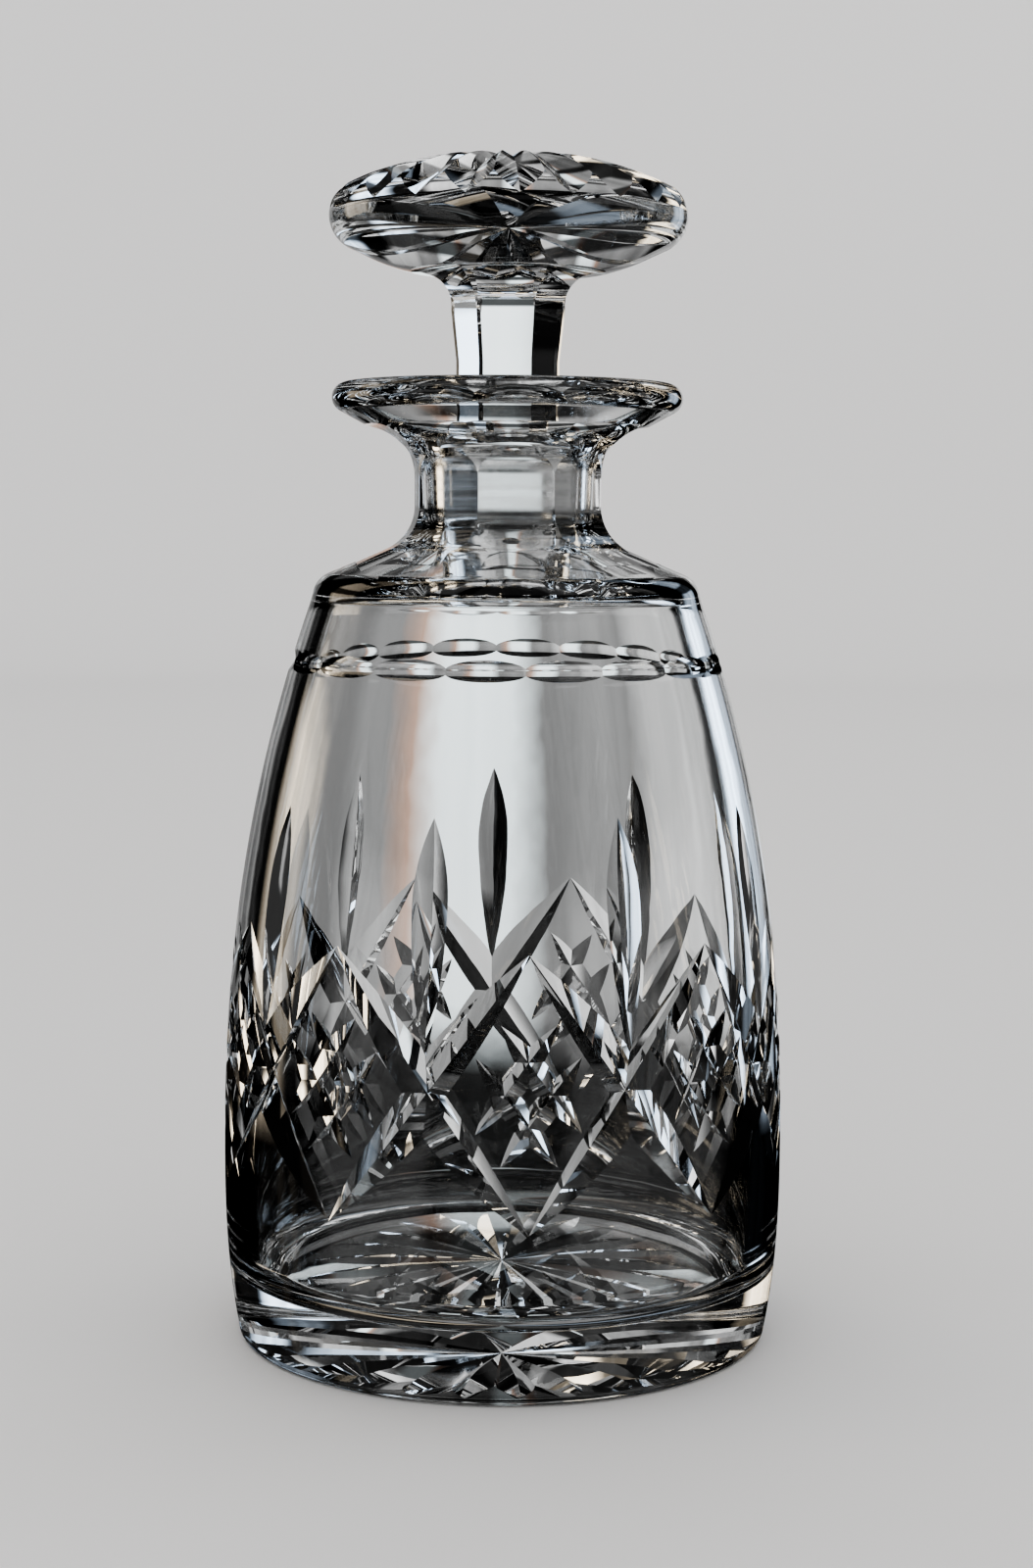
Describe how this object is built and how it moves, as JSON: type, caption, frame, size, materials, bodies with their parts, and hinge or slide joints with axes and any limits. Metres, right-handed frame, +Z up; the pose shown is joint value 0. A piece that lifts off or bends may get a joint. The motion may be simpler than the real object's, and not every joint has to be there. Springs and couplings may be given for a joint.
{
  "type": "cut crystal decanter",
  "caption": "Cut crystal decanter with a tapering round body, fluted neck, wide pouring lip and a lift-out mushroom stopper with a ground plug.",
  "frame": {"origin": "on the decanter's axis, in the plane of the resting ring that it stands on", "axes": "+Z up along the axis through the neck and stopper; -Y is the front, towards the viewer; +X to the viewer's right"},
  "size_m": [0.112, 0.112, 0.233],
  "materials": {
    "body_crystal": "clear lead crystal, polished mitre cuts, with a ground frosted band inside the neck",
    "stopper_crystal": "clear lead crystal, polished cuts, with a ground frosted plug"
  },
  "bodies": {
    "bottle": {"decanter_body": "body_crystal"},
    "stopper": {"stopper": "stopper_crystal"}
  },
  "joints": [
    {"name": "stopper_lift", "type": "slide", "parent": "bottle", "child": "stopper", "axis": [0, 0, 1], "range_m": [0, 0.06]}
  ]
}
